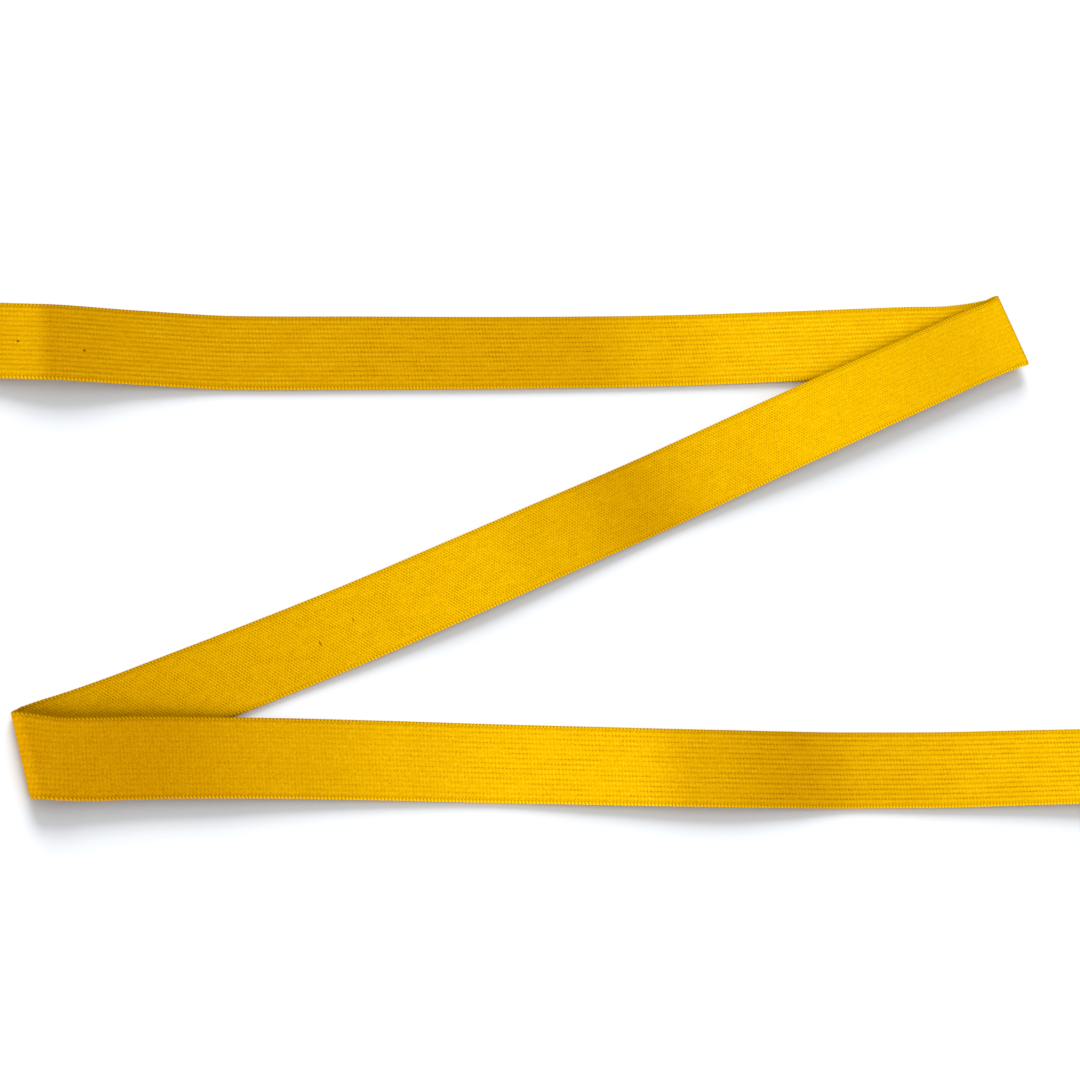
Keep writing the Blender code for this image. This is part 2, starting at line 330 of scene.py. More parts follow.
def shear_at(fold, s):
    """Share of the crease's skew that a row has: full in the bend, none at the leads' ends."""
    lead = LEAD - fold.reach
    into = (s - (fold.s0 - lead)) / lead
    out = (fold.s1 + lead - s) / lead
    return fold.shear * min(1.0, max(0.0, min(into, out)))


def rows_between(start, end, spacing):
    """Row places from start to end, closer together in the bends, with rows on every border."""
    borders = {start, end}
    for low, high, zone in ZONES:
        for border in (low, high):
            if start < border < end:
                borders.add(border)
        if isinstance(zone, Fold):
            for border in (zone.s0, zone.middle, zone.s1):
                if start < border < end:
                    borders.add(border)
    borders = sorted(borders)
    found = [start]
    for low, high in zip(borders, borders[1:]):
        middle = (low + high) / 2
        bend = any(fold.s0 < middle < fold.s1 for fold in folds)
        count = max(1, math.ceil((high - low) / (ROW_BEND if bend else spacing) - 1e-6))
        found.extend(low + (high - low) * k / count for k in range(1, count + 1))
    return np.array(found)


# Where the knit is stretched or drawn in across a crease: middle, side, amount, reaches.
FLARES = (
    (folds[0].middle, 1, 1.6 * MM, 5 * MM, 5 * MM),
    (folds[0].middle, -1, 0.8 * MM, 5 * MM, 5 * MM),
    (folds[1].middle - 10 * MM, 1, 2.3 * MM, 18 * MM, 18 * MM),
    (folds[1].middle, -1, -0.7 * MM, 2.5 * MM, 2.5 * MM),
)


def flared(rows, v):
    """Places across the strap, moved out or in where it is stretched beside a crease."""
    moved = v.copy()
    for middle, side, amount, before, after in FLARES:
        reach = np.where(rows < middle, before, after)
        share = np.exp(-(((rows - middle) / reach) ** 2))[:, None]
        moved += np.clip(side * v / HALF_WIDTH, 0, None) * side * amount * share
    return moved


def strap_points(rows, v, w):
    """Places and true lengths for rows of points; v and w are (rows, points) arrays."""
    v = flared(rows, v)
    places = np.zeros(v.shape + (3,))
    lengths = np.zeros(v.shape)
    for low, high, zone in ZONES:
        mask = (rows >= low - ROW_MATCH) & (rows <= high + ROW_MATCH)
        if not mask.any():
            continue
        s = np.repeat(rows[mask][:, None], v.shape[1], 1)
        if isinstance(zone, Fold):
            shear = np.array([shear_at(zone, row) for row in rows[mask]])
            s = s + shear[:, None] * v[mask]
        places[mask] = zone.place(s, v[mask], w[mask])
        lengths[mask] = s
    return places, lengths


def tube(name, places, u, v, material):
    """Closed mesh from rings of points; u and v hold one more column than there are points."""
    rings, count = places.shape[:2]
    index = np.arange(rings * count).reshape(rings, count)
    after = np.roll(index, -1, axis=1)
    quads = np.stack([index[:-1], after[:-1], after[1:], index[1:]], -1).reshape(-1, 4)
    grid = np.stack([u, v], -1)
    corner_uv = np.stack(
        [grid[:-1, :-1], grid[:-1, 1:], grid[1:, 1:], grid[1:, :-1]], 2
    ).reshape(-1, 2)
    caps = [index[0][::-1], index[-1]]
    cap_uv = [grid[0, :-1][::-1], grid[-1, :-1]]
    loops = np.concatenate([quads.ravel()] + caps)
    uvs = np.concatenate([corner_uv] + cap_uv)
    flat = places.reshape(-1, 3)
    a, b, c, d = (flat[quads[:, k]] for k in range(4))
    volume = np.einsum("ij,ij->i", a, np.cross(b, c) + np.cross(c, d)).sum()
    sizes = np.array([4] * len(quads) + [count, count])
    starts = np.concatenate([[0], np.cumsum(sizes)[:-1]])
    if volume < 0:
        order = np.concatenate([np.arange(k + n - 1, k - 1, -1) for k, n in zip(starts, sizes)])
        loops, uvs = loops[order], uvs[order]
    mesh = bpy.data.meshes.new(name)
    mesh.vertices.add(len(flat))
    mesh.vertices.foreach_set("co", flat.astype(np.float32).ravel())
    mesh.loops.add(len(loops))
    mesh.loops.foreach_set("vertex_index", loops.astype(np.int32))
    mesh.polygons.add(len(sizes))
    mesh.polygons.foreach_set("loop_start", starts.astype(np.int32))
    mesh.update(calc_edges=True)
    layer = mesh.uv_layers.new(name="strap")
    layer.data.foreach_set("uv", uvs.astype(np.float32).ravel())
    mesh.validate()
    mesh.shade_smooth()
    mesh.set_sharp_from_angle(angle=math.radians(SHARP_ANGLE))
    mesh.materials.append(material)
    piece = bpy.data.objects.new(name, mesh)
    bpy.context.scene.collection.objects.link(piece)
    return piece


RIGHT_S = folds[0].s0 / MM
LEFT_IN = folds[1].s0 / MM
LEFT_S = folds[1].s1 / MM
END_S = TOTAL / MM

# Places (millimetres) and strengths of the painted shade in rib lines and in dashes in the
# grooves, of the painted highlights on the loops of the ribs, and of mottling;
# these change along the strap, and the first strength also sets the height of the ribs.
FACE_STOPS = (
    (0, (1.0, 0.10, 0.2, 0.2)),
    (END_S, (0.8, 0.8, 0.5, 0.2)),
    (100, (1.0, 0.15, 0.6, 0.2)),
    (175, (0.8, 0.4, 0.9, 0.2)),
    (260, (0.5, 1.0, 0.3, 0.4)),
    (390, (0.4, 0.9, 0.3, 0.4)),
    (470, (0.6, 0.5, 0.8, 0.2)),
    (RIGHT_S, (1.0, 0.3, 1.0, 0.2)),
    (LEFT_S, (0.4, 0.2, 0.4, 0.6)),
    (LEFT_S + 30, (0.1, 0.25, 0.2, 1.0)),
    (LEFT_S + 125, (0.12, 0.4, 0.1, 0.8)),
    (LEFT_S + 275, (0.3, 0.8, 0.3, 0.4)),
    (LEFT_S + 400, (0.6, 0.9, 0.4, 0.2)),
)

# ---------------------------------------------------------------- section outlines


def face_outline():
    """v and ridge height of the ribbed face: ridges between grooves, then down to the edge."""
    v = [-place for place, _ in FACE_ROUNDING]
    share = [0.0] * len(FACE_ROUNDING)
    base = [height for _, height in FACE_ROUNDING]
    first = -RIB_COUNT / 2 * RIB_PITCH
    for rib in range(RIB_COUNT):
        for step in RIB_STEPS:
            v.append(first + (rib + step) * RIB_PITCH)
            share.append(math.sin(math.pi * step) ** RIB_FULLNESS)
            base.append(GROOVE)
    v += [-first] + [place for place, _ in reversed(FACE_ROUNDING)]
    share += [0.0] * (1 + len(FACE_ROUNDING))
    base += [GROOVE] + [height for _, height in reversed(FACE_ROUNDING)]
    return np.array(v), np.array(share), np.array(base)


FACE_V, FACE_SHARE, FACE_BASE = face_outline()


def face_piece(name, start, end, material):
    """Ribbed face of the knit, its ribs swelling a little at each course."""
    rows = rows_between(start, end, ROW_RUN)
    count = len(rows)
    v = np.tile(np.concatenate([FACE_V, [KNIT_EDGE, -KNIT_EDGE]]), (count, 1))
    course = 0.5 + 0.5 * np.cos(2 * math.pi * rows / COURSE)
    places, strengths = zip(*sorted(FACE_STOPS))
    # rib height follows the strength of the painted rib-line shade along the strap
    rib_strength = np.interp(rows / MM, places, [strength[0] for strength in strengths])
    height = RIDGE * (0.25 + 0.75 * rib_strength) * (0.90 + 0.10 * course)
    top = FACE_BASE[None] + FACE_SHARE[None] * height[:, None]
    w = np.concatenate([top, np.full((count, 2), LAYER_GAP)], 1)
    places, lengths = strap_points(rows, v, w)
    u = np.concatenate([lengths, lengths[:, :1]], 1)
    return tube(name, places, u, np.concatenate([v, v[:, :1]], 1), material)


def back_piece(name, start, end, material):
    """Smooth reverse of the knit, rounded down at both edges."""
    rows = rows_between(start, end, ROW_RUN)
    count = len(rows)
    flat = np.linspace(-BACK_FLAT, BACK_FLAT, BACK_COLUMNS)
    edge_v, edge_w = np.array(BACK_ROUNDING).T
    row_v = np.concatenate([-edge_v, flat, edge_v[::-1]])
    row_w = np.concatenate([edge_w, np.full(BACK_COLUMNS, BACK), edge_w[::-1]])
    v = np.tile(np.concatenate([row_v, [KNIT_EDGE, -KNIT_EDGE]]), (count, 1))
    w = np.tile(np.concatenate([row_w, [-LAYER_GAP, -LAYER_GAP]]), (count, 1))
    places, lengths = strap_points(rows, v, w)
    u = np.concatenate([lengths, lengths[:, :1]], 1)
    return tube(name, places, u, np.concatenate([v, v[:, :1]], 1), material)


def cord_piece(name, start, end, side, material):
    """Whipped edge cord: each turn of the yarn stands proud and leans along the edge."""
    rows = rows_between(start, end, ROW_CORD)
    turn = 2 * math.pi * np.arange(CORD_SIDES) / CORD_SIDES
    lean = turn - YARN_LEAN / 2 * np.sin(2 * turn)
    phase = 2 * math.pi * rows[:, None] / COURSE - side * lean[None]
    radius = CORD_RADIUS + YARN_RISE * np.abs(np.sin(phase / 2)) ** YARN_ROUNDNESS
    v = side * (CORD_MIDDLE + radius * np.cos(turn)[None])
    w = radius * np.sin(turn)[None]
    places, lengths = strap_points(rows, v, w)
    u = np.concatenate([lengths, lengths[:, :1]], 1)
    around = np.arange(CORD_SIDES + 1) / CORD_SIDES
    around = side * (around - YARN_LEAN / 4 / math.pi * np.sin(4 * math.pi * around))
    return tube(name, places, u, np.tile(around, (len(rows), 1)), material)


# ---------------------------------------------------------------- materials

# Places (millimetres) and depths of painted shade along the strap, 0 the lightest: lighter and
# darker lengths that stand in for the shading of its waves and the shade beside its folds.
PAINTED_SHADE_STOPS = (
    (0, 0.80),
    (END_S, 0.10),
    (50, 0.52),
    (59, 0.62),
    (62.5, 0.95),
    (74, 0.82),
    (100, 0.72),
    (345, 0.66),
    (380, 0.34),
    (438, 0.08),
    (RIGHT_S, 0.15),
    (LEFT_IN - 562, 0.30),
    (LEFT_IN - 462, 0.06),
    (LEFT_IN - 400, 0.26),
    (LEFT_IN - 345, 0.74),
    (LEFT_IN - 290, 0.36),
    (LEFT_IN - 251, 0.20),
    (LEFT_IN - 181, 0.34),
    (LEFT_IN - 134, 0.50),
    (LEFT_IN - 60, 0.72),
    (LEFT_S, 0.92),
    (LEFT_S + 50, 1.00),
    (LEFT_S + 128, 0.56),
    (LEFT_S + 182, 0.25),
    (LEFT_S + 236, 0.04),
    (LEFT_S + 300, 0.02),
    (LEFT_S + 334, 0.54),
    (LEFT_S + 388, 0.80),
    (LEFT_S + 434, 0.40),
    (LEFT_S + 500, 0.18),
    (LEFT_S + 545, 0.05),
)
# colour the strap is multiplied by where the painted shade is deepest
DEEPEST_PAINTED_SHADE = (0.62, 0.515, 0.5)


class Shader:
    """Material of the strap; s runs along it and v across it, in millimetres."""

    def __init__(self, name, roughness, sheen):
        self.material = bpy.data.materials.new(name)
        self.material.use_nodes = True
        self.tree = self.material.node_tree
        self.bsdf = self.tree.nodes["Principled BSDF"]
        self.bsdf.inputs["Roughness"].default_value = roughness
        self.bsdf.inputs["Specular IOR Level"].default_value = 0.0
        self.bsdf.inputs["Sheen Weight"].default_value = sheen
        self.bsdf.inputs["Sheen Roughness"].default_value = 0.5
        self.bsdf.inputs["Sheen Tint"].default_value = (1.0, 0.60, 0.0, 1)
        uv = self.tree.nodes.new("ShaderNodeUVMap")
        uv.uv_map = "strap"
        split = self.tree.nodes.new("ShaderNodeSeparateXYZ")
        self.tree.links.new(uv.outputs[0], split.inputs[0])
        self.s = self.mul(split.outputs[0], 1000)
        self.v = self.mul(split.outputs[1], 1000)

    def put(self, socket, value):
        """Link another node's socket to this one, or set a value."""
        if isinstance(value, bpy.types.NodeSocket):
            self.tree.links.new(value, socket)
        else:
            socket.default_value = value

    def math(self, operation, *values):
        node = self.tree.nodes.new("ShaderNodeMath")
        node.operation = operation
        for socket, value in zip(node.inputs, values):
            self.put(socket, value)
        return node.outputs[0]

    def add(self, a, b):
        return self.math("ADD", a, b)

    def sub(self, a, b):
        return self.math("SUBTRACT", a, b)

    def mul(self, a, b):
        return self.math("MULTIPLY", a, b)

    def power(self, a, b):
        return self.math("POWER", a, b)

    def wave(self, value, period, shift=0.0):
        """0 to 1 and back over one period; 1 where value is a whole number of periods."""
        angle = self.add(self.mul(value, 2 * math.pi / period), shift)
        return self.math("MULTIPLY_ADD", self.math("COSINE", angle), 0.5, 0.5)

    def step(self, value, low, high):
        """0 below low, 1 above high, smooth between."""
        node = self.tree.nodes.new("ShaderNodeMapRange")
        node.interpolation_type = "SMOOTHSTEP"
        self.put(node.inputs["Value"], value)
        node.inputs["From Min"].default_value = low
        node.inputs["From Max"].default_value = high
        return node.outputs[0]

    def noise(self, s_size, v_size, detail=2.0, seed=0.0):
        """Noise from 0 to 1 with lumps of a given size in millimetres along and across."""
        join = self.tree.nodes.new("ShaderNodeCombineXYZ")
        self.put(join.inputs[0], self.mul(self.s, 1 / s_size))
        self.put(join.inputs[1], self.mul(self.v, 1 / v_size))
        join.inputs[2].default_value = seed
        node = self.tree.nodes.new("ShaderNodeTexNoise")
        node.inputs["Scale"].default_value = 1.0
        node.inputs["Detail"].default_value = detail
        self.tree.links.new(join.outputs[0], node.inputs["Vector"])
        return node.outputs["Fac"]

    def mix(self, share, one, two, blend="MIX"):
        node = self.tree.nodes.new("ShaderNodeMix")
        node.data_type = "RGBA"
        node.blend_type = blend
        self.put(node.inputs["Factor"], share)
        colours = [socket for socket in node.inputs if socket.type == "RGBA"]
        for socket, value in zip(colours, (one, two)):
            self.put(socket, (*value, 1) if isinstance(value, tuple) else value)
        return [socket for socket in node.outputs if socket.type == "RGBA"][0]

    def along(self, stops):
        """Four strengths that change along the strap; stops are (millimetres, strengths)."""
        node = self.tree.nodes.new("ShaderNodeValToRGB")
        self.put(node.inputs[0], self.mul(self.s, MM / TOTAL))
        node.color_ramp.interpolation = "EASE"
        elements = node.color_ramp.elements
        for i, (place, strengths) in enumerate(stops):
            element = elements[i] if i < 2 else elements.new(place * MM / TOTAL)
            element.position = place * MM / TOTAL
            element.color = strengths
        split = self.tree.nodes.new("ShaderNodeSeparateColor")
        self.tree.links.new(node.outputs["Color"], split.inputs[0])
        return (*split.outputs, node.outputs["Alpha"])

    def with_painted_shade(self, colour):
        """Colour with painted shade along the strap's length, standing in for the shading of its
        waves and folds.
        """
        painted_depth = self.along([(place, (depth,) * 4) for place, depth in PAINTED_SHADE_STOPS])[0]
        return self.mix(painted_depth, colour, DEEPEST_PAINTED_SHADE, "MULTIPLY")

    def spot(self, s, v, across, along):
        """1 inside a small oval at a place on the strap, 0 outside."""
        ds = self.mul(self.sub(self.s, s), 1 / along)
        dv = self.mul(self.sub(self.v, v), 1 / across)
        far = self.math("SQRT", self.add(self.mul(ds, ds), self.mul(dv, dv)))
        return self.sub(1.0, self.step(far, 0.6, 1.1))

    def finish(self, colour, height, distance=0.25 * MM):
        """Set the colour and the fine relief; return the material."""
        # the base colour carries the painted shade along the strap
        self.put(self.bsdf.inputs["Base Color"], self.with_painted_shade(colour))
        bump = self.tree.nodes.new("ShaderNodeBump")
        bump.inputs["Distance"].default_value = distance
        bump.inputs["Strength"].default_value = 1.0
        self.put(bump.inputs["Height"], height)
        self.tree.links.new(bump.outputs[0], self.bsdf.inputs["Normal"])
        return self.material


GOLD = (0.88, 0.495, 0.0)
GOLD_BRIGHT = (0.99, 0.67, 0.0)
# painted highlight colour of glints on loops, fibres and yarn
GOLD_GLINT = (0.99, 0.72, 0.01)
GOLD_DULL = (0.80, 0.405, 0.0)
GOLD_ORANGE = (0.90, 0.36, 0.0)
GOLD_GREEN = (0.66, 0.43, 0.0)
GOLD_DARK = (0.40, 0.150, 0.0)
GOLD_DEEP = (0.26, 0.075, 0.0)
PIN_COLOUR = (0.20, 0.085, 0.0)

# Small dark marks on the strap: place along and across, half sizes across and along.
PIN_MARKS = ((47.3, -0.6, 0.85, 0.85), (79.3, -4.1, 0.85, 0.85))
PIN_DEPTH = 0.85
LINT = ((LEFT_S - 167.6, -2.8, 1.7, 0.42), (LEFT_S - 188.4, 2.1, 1.3, 0.36))
LINT_DEPTH = 0.9

# Length of the twill's repeat in millimetres, and strengths of the yarn's darker flecks and of
# its painted glints.
TWILL_COURSE = 1.65
FIBRE_SHADE = 0.26
GRAIN_SHADE = 0.30
GRAIN_GLINT = 0.34


def yarn_texture(shader, colour, fibre, glint, grain_seed):
    """Colour with darker fibres and uneven yarn, and with painted glints on fibres and yarn."""
    colour = shader.mix(shader.mul(shader.step(fibre, 0.45, 0.8), FIBRE_SHADE), colour, GOLD_DARK)
    # painted glints on single fibres
    colour = shader.mix(shader.mul(shader.step(fibre, 0.55, 0.2), glint), colour, GOLD_GLINT)
    grain = shader.noise(0.95, 0.75, 2.0, grain_seed)
    shade = shader.mul(shader.step(grain, 0.50, 0.78), GRAIN_SHADE)
    colour = shader.mix(shade, colour, GOLD_DARK)
    return shader.mix(shader.mul(shader.step(grain, 0.48, 0.24), GRAIN_GLINT), colour, GOLD_GLINT)


def marked(shader, colour, marks, depth, mark_colour):
    """Colour with small oval marks."""
    for mark in marks:
        colour = shader.mix(shader.mul(shader.spot(*mark), depth), colour, mark_colour)
    return colour


def speckled(shader, colour, seed):
    """Colour with the fine orange and greenish flecks of twisted yarn."""
    orange = shader.step(shader.noise(0.75, 0.62, 2.0, seed), 0.52, 0.80)
    green = shader.step(shader.noise(0.80, 0.66, 2.0, seed + 4.0), 0.54, 0.80)
    colour = shader.mix(shader.mul(orange, 0.55), colour, GOLD_ORANGE)
    return shader.mix(shader.mul(green, 0.45), colour, GOLD_GREEN)


def selvedge_gap_shade(shader, slope):
    """Painted shade in the gaps between the ends of the whip stitches, where they enter the knit
    beside the edge cord.
    """
    side = shader.math("ABSOLUTE", shader.v)
    slant = shader.mul(shader.v, slope)
    gaps = shader.power(shader.wave(shader.add(shader.s, slant), COURSE / MM), 1.5)
    band = shader.step(side, 17.1, 18.3)
    return shader.mul(gaps, band)


def face_material():
    """Ribbed face: painted shade along the grooves and in short marks there, painted highlights
    on the loops of the ribs.
    """
    shader = Shader("ribbed_knit", roughness=0.92, sheen=0.08)
    pitch = RIB_PITCH / MM
    # strengths along the strap of painted groove shade, painted dash shade, painted loop
    # highlights and mottling
    line_shade, dash_shade_strength, loops, mottle = shader.along(FACE_STOPS)
    crest = shader.math("ABSOLUTE", shader.math("SINE", shader.mul(shader.v, math.pi / pitch)))
    side = shader.math("ABSOLUTE", shader.v)
    on_ribs = shader.sub(1.0, shader.step(side, 17.7, 18.1))
    valley = shader.mul(shader.power(shader.sub(1.0, crest), 0.8), on_ribs)
    warp = shader.mul(shader.sub(shader.noise(9.0, 2.6, 2.0, 3.1), 0.5), 2.4)
    course = shader.wave(shader.s, COURSE / MM, warp)
    patches = shader.step(shader.noise(13.0, 4.0, 2.5, 0.3), 0.34, 0.66)
    spotty = shader.step(shader.noise(18.0, 5.0, 2.0, 9.4), 0.36, 0.66)
    fibre = shader.noise(0.42, 0.30, 3.0, 5.5)
    lumps = shader.noise(1.3, 1.1, 2.0, 2.7)
    broad = shader.noise(60.0, 24.0, 1.5, 7.7)
    # painted shade along the grooves between the ribs
    patchy_line_shade = shader.mul(line_shade, shader.add(0.30, shader.mul(patches, 0.22)))
    groove_shade = shader.mul(valley, patchy_line_shade)
    # painted shade in short dashes where the loops part in the grooves; the same mask sinks the
    # bump
    dash_shade = shader.mul(shader.power(valley, 2.0), shader.power(course, 1.6))
    dash_shade = shader.mul(dash_shade, shader.mul(dash_shade_strength, shader.add(0.40, shader.mul(patches, 0.90))))
    # painted highlights on the loops at the tops of the ribs; the same mask raises the bump
    bead_highlight = shader.mul(shader.power(crest, 2.0), shader.power(shader.sub(1.0, course), 2.0))
    bead_highlight = shader.mul(shader.mul(bead_highlight, on_ribs), shader.mul(loops, spotty))
    blotch = shader.mul(shader.step(lumps, 0.40, 0.72), shader.mul(mottle, 0.22))
    columns = shader.mul(shader.mul(shader.power(course, 2.0), mottle), 0.14)
    colour = shader.mix(shader.mul(broad, 0.4), GOLD, GOLD_DULL)
    colour = shader.mix(groove_shade, colour, GOLD_DARK)
    colour = shader.mix(bead_highlight, colour, GOLD_GLINT)
    colour = shader.mix(dash_shade, colour, GOLD_DARK)
    colour = shader.mix(shader.add(blotch, columns), colour, GOLD_DARK)
    # painted shade between the whip stitches' ends beside the cord
    hatch_shade = selvedge_gap_shade(shader, 1.0)
    colour = shader.mix(shader.mul(hatch_shade, 0.75), colour, GOLD_DARK)
    colour = yarn_texture(shader, colour, fibre, 0.45, 21.5)
    colour = speckled(shader, colour, 1.5)
    colour = marked(shader, colour, PIN_MARKS, PIN_DEPTH, PIN_COLOUR)
    height = shader.add(shader.mul(bead_highlight, 0.5), shader.mul(fibre, 0.35))
    height = shader.sub(height, shader.add(shader.mul(dash_shade, 0.6), shader.mul(hatch_shade, 0.5)))
    return shader.finish(colour, height)


# Along the diagonal: strength of the painted shade in the twill's pits and in the faint
# lengthwise lines.
BACK_STOPS = (
    (RIGHT_S, (0.35, 0.12, 0, 0)),
    (RIGHT_S + 60, (0.60, 0.10, 0, 0)),
    (RIGHT_S + 200, (1.00, 0.07, 0, 0)),
    (LEFT_S - 60, (1.10, 0.04, 0, 0)),
    (LEFT_S - 30, (0.80, 0.10, 0, 0)),
    (LEFT_S - 12, (0.50, 0.50, 0, 0)),
)


def back_material():
    """Smooth reverse: fine diagonal twill with painted shade in its small hollows and along faint
    lengthwise ribs, and painted highlights on its ridges.
    """
    shader = Shader("twill_knit", roughness=0.90, sheen=0.08)
    wale = RIB_PITCH / MM
    warp = shader.mul(shader.sub(shader.noise(11.0, 6.0, 2.0, 2.2), 0.5), 1.5)
    across = shader.mul(shader.v, 2 * math.pi / wale)
    twill = shader.wave(shader.s, TWILL_COURSE, shader.sub(warp, across))
    beads = shader.wave(shader.s, TWILL_COURSE, shader.add(warp, across))
    side = shader.math("ABSOLUTE", shader.v)
    on_knit = shader.sub(1.0, shader.step(side, 17.8, 18.3))
    patches = shader.step(shader.noise(7.0, 4.0, 2.5, 4.4), 0.30, 0.68)
    fibre = shader.noise(0.45, 0.32, 3.0, 8.5)
    lumps = shader.noise(1.0, 0.9, 2.0, 6.7)
    broad = shader.noise(50.0, 22.0, 1.5, 1.7)
    strength, line_shade = shader.along(BACK_STOPS)[:2]
    # painted shade in the twill's pits
    pit_shade = shader.mul(shader.power(twill, 2.0), shader.add(0.15, shader.mul(beads, 0.85)))
    pit_shade = shader.mul(pit_shade, shader.add(0.42, shader.mul(patches, 0.42)))
    pit_shade = shader.mul(pit_shade, strength)
    # painted shade along faint lengthwise lines
    crease_shade = shader.mul(shader.power(shader.wave(shader.v, wale), 2.0), line_shade)
    dark = shader.mul(shader.add(pit_shade, crease_shade), on_knit)
    # painted highlight on the twill's ridges between the pits
    ridge = shader.mul(shader.power(shader.sub(1.0, twill), 2.0), 0.35)
    colour = shader.mix(shader.mul(broad, 0.3), GOLD, GOLD_DULL)
    colour = shader.mix(ridge, colour, GOLD_BRIGHT)
    colour = shader.mix(dark, colour, GOLD_DARK)
    colour = shader.mix(shader.mul(shader.step(lumps, 0.45, 0.75), 0.14), colour, GOLD_DARK)
    # painted shade between the whip stitches' ends beside the cord
    hatch_shade = selvedge_gap_shade(shader, -1.0)
    colour = shader.mix(shader.mul(hatch_shade, 0.38), colour, GOLD_DARK)
    colour = yarn_texture(shader, colour, fibre, 0.40, 27.5)
    colour = speckled(shader, colour, 12.5)
    colour = marked(shader, colour, LINT, LINT_DEPTH, GOLD_DEEP)
    height = shader.sub(shader.mul(fibre, 0.35), shader.mul(dark, 0.9))
    height = shader.sub(height, shader.mul(hatch_shade, 0.5))
    return shader.finish(colour, height)


def cord_material():
    """Edge cord: plied yarn wound round it, with painted shade between the turns, deeper on the
    side towards the knit.
    """
    shader = Shader("whipped_selvedge", roughness=0.86, sheen=0.10)
    around = shader.mul(shader.v, MM)
    wound = shader.add(shader.mul(shader.s, math.pi * MM / COURSE), shader.mul(around, -math.pi))
    ridge = shader.math("ABSOLUTE", shader.math("SINE", wound))
    gap = shader.power(shader.sub(1.0, shader.power(ridge, 0.7)), 0.8)
    inner = shader.sub(1.0, shader.wave(around, 1.0))
    ply = shader.wave(shader.s, 0.42, shader.mul(around, -4 * math.pi))
    fibre = shader.noise(0.3, 150.0, 3.0, 6.6)
    dull = shader.add(0.35, shader.mul(fibre, 0.65))
    colour = shader.mix(dull, GOLD_BRIGHT, GOLD)
    colour = shader.mix(shader.mul(ply, 0.10), colour, GOLD_DARK)
    # painted shade between the turns, deeper on the inner side towards the knit
    shade = shader.mul(gap, shader.add(0.5, shader.mul(inner, 0.5)))
    colour = shader.mix(shade, colour, GOLD_DARK)
    # deepest painted shade in the middle of each gap
    colour = shader.mix(shader.mul(shader.power(gap, 2.0), 0.6), colour, GOLD_DEEP)
    height = shader.add(shader.mul(ply, 0.5), shader.mul(fibre, 0.3))
    return shader.finish(colour, height, 0.12 * MM)


def thread_material():
    """Twisted sewing thread of the hems."""
    shader = Shader("hem_thread", roughness=0.60, sheen=0.10)
    twist = shader.wave(shader.s, 0.5, shader.mul(shader.v, 2 * math.pi * MM))
    colour = shader.mix(shader.mul(twist, 0.6), GOLD_BRIGHT, GOLD_DULL)
    return shader.finish(colour, twist, 0.1 * MM)


# ---------------------------------------------------------------- building the pieces

face_look = face_material()
back_look = back_material()
cord_look = cord_material()
thread_look = thread_material()

right, left = folds


def place_along(joint, path):
    """Place along the strap of a free end's joint."""
    return path.start + float(np.interp(place_of(joint)[0], path.line[:, 0], path.s))


s_upper_b = place_along("upper_end_curl_b", paths[0])
s_upper_a = place_along("upper_end_curl_a", paths[0])
s_lower_a = place_along("lower_end_curl_a", paths[2])
s_lower_b = place_along("lower_end_curl_b", paths[2])


def centre(s):
    """Middle of the strap at a place along it."""
    places, _ = strap_points(np.array([s]), np.zeros((1, 1)), np.zeros((1, 1)))
    return places[0, 0]


def fold_bend(fold, far):
    """Start and end of the turn between a run and the upright part of its fold."""
    base = fold.exit if far else fold.origin
    diagonal = (fold.out + (-UP if far else UP)) / math.sqrt(2)
    start = FOLD_TURN / math.sqrt(2)
    end = (2 * fold.radius - FOLD_TURN) / math.sqrt(2)
    return base + diagonal * start, base + diagonal * end


UPPER_CUTS = ((s_upper_b + s_upper_a) / 2, s_upper_a + BEND_ZONE + ROOT_MARGIN)
LOWER_CUTS = (s_lower_a - BEND_ZONE - ROOT_MARGIN, (s_lower_a + s_lower_b) / 2)
RIGHT_CUTS = (right.s0 - FOLD_BORDER, right.s1 + FOLD_BORDER)
LEFT_CUTS = (left.s0 - FOLD_BORDER, left.s1 + FOLD_BORDER)


def around(s):
    """Start and end of a free end's bend about a place along the strap."""
    return centre(s - BEND_ZONE), centre(s + BEND_ZONE)


# body, start, end, and for a length that bends: the other body, and its bend's start and end
LENGTHS = (
    ("upper_end_tip", 0.0, UPPER_CUTS[0], "upper_end_root", around(s_upper_b)),
    ("upper_end_root", *UPPER_CUTS, "upper_run", around(s_upper_a)),
    ("upper_run", UPPER_CUTS[1], RIGHT_CUTS[0], None, None),
    ("right_fold_near", RIGHT_CUTS[0], right.middle - SEAM, "upper_run", fold_bend(right, False)),
    ("right_fold_far", right.middle + SEAM, RIGHT_CUTS[1], "middle_run", fold_bend(right, True)),
    ("middle_run", RIGHT_CUTS[1], LEFT_CUTS[0], None, None),
    ("left_fold_near", LEFT_CUTS[0], left.middle - SEAM, "middle_run", fold_bend(left, False)),
    ("left_fold_far", left.middle + SEAM, LEFT_CUTS[1], "lower_run", fold_bend(left, True)),
    ("lower_run", LEFT_CUTS[1], LOWER_CUTS[0], None, None),
    ("lower_end_root", *LOWER_CUTS, "lower_run", around(s_lower_a)),
    ("lower_end_tip", LOWER_CUTS[1], TOTAL, "lower_end_root", around(s_lower_b)),
)


def attach(piece, body, other):
    """Fix a piece to its body, or for a length that bends leave it free with its transform
    applied.
    """
    if other is None:
        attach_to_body(piece, body)
        return
    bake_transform(piece)


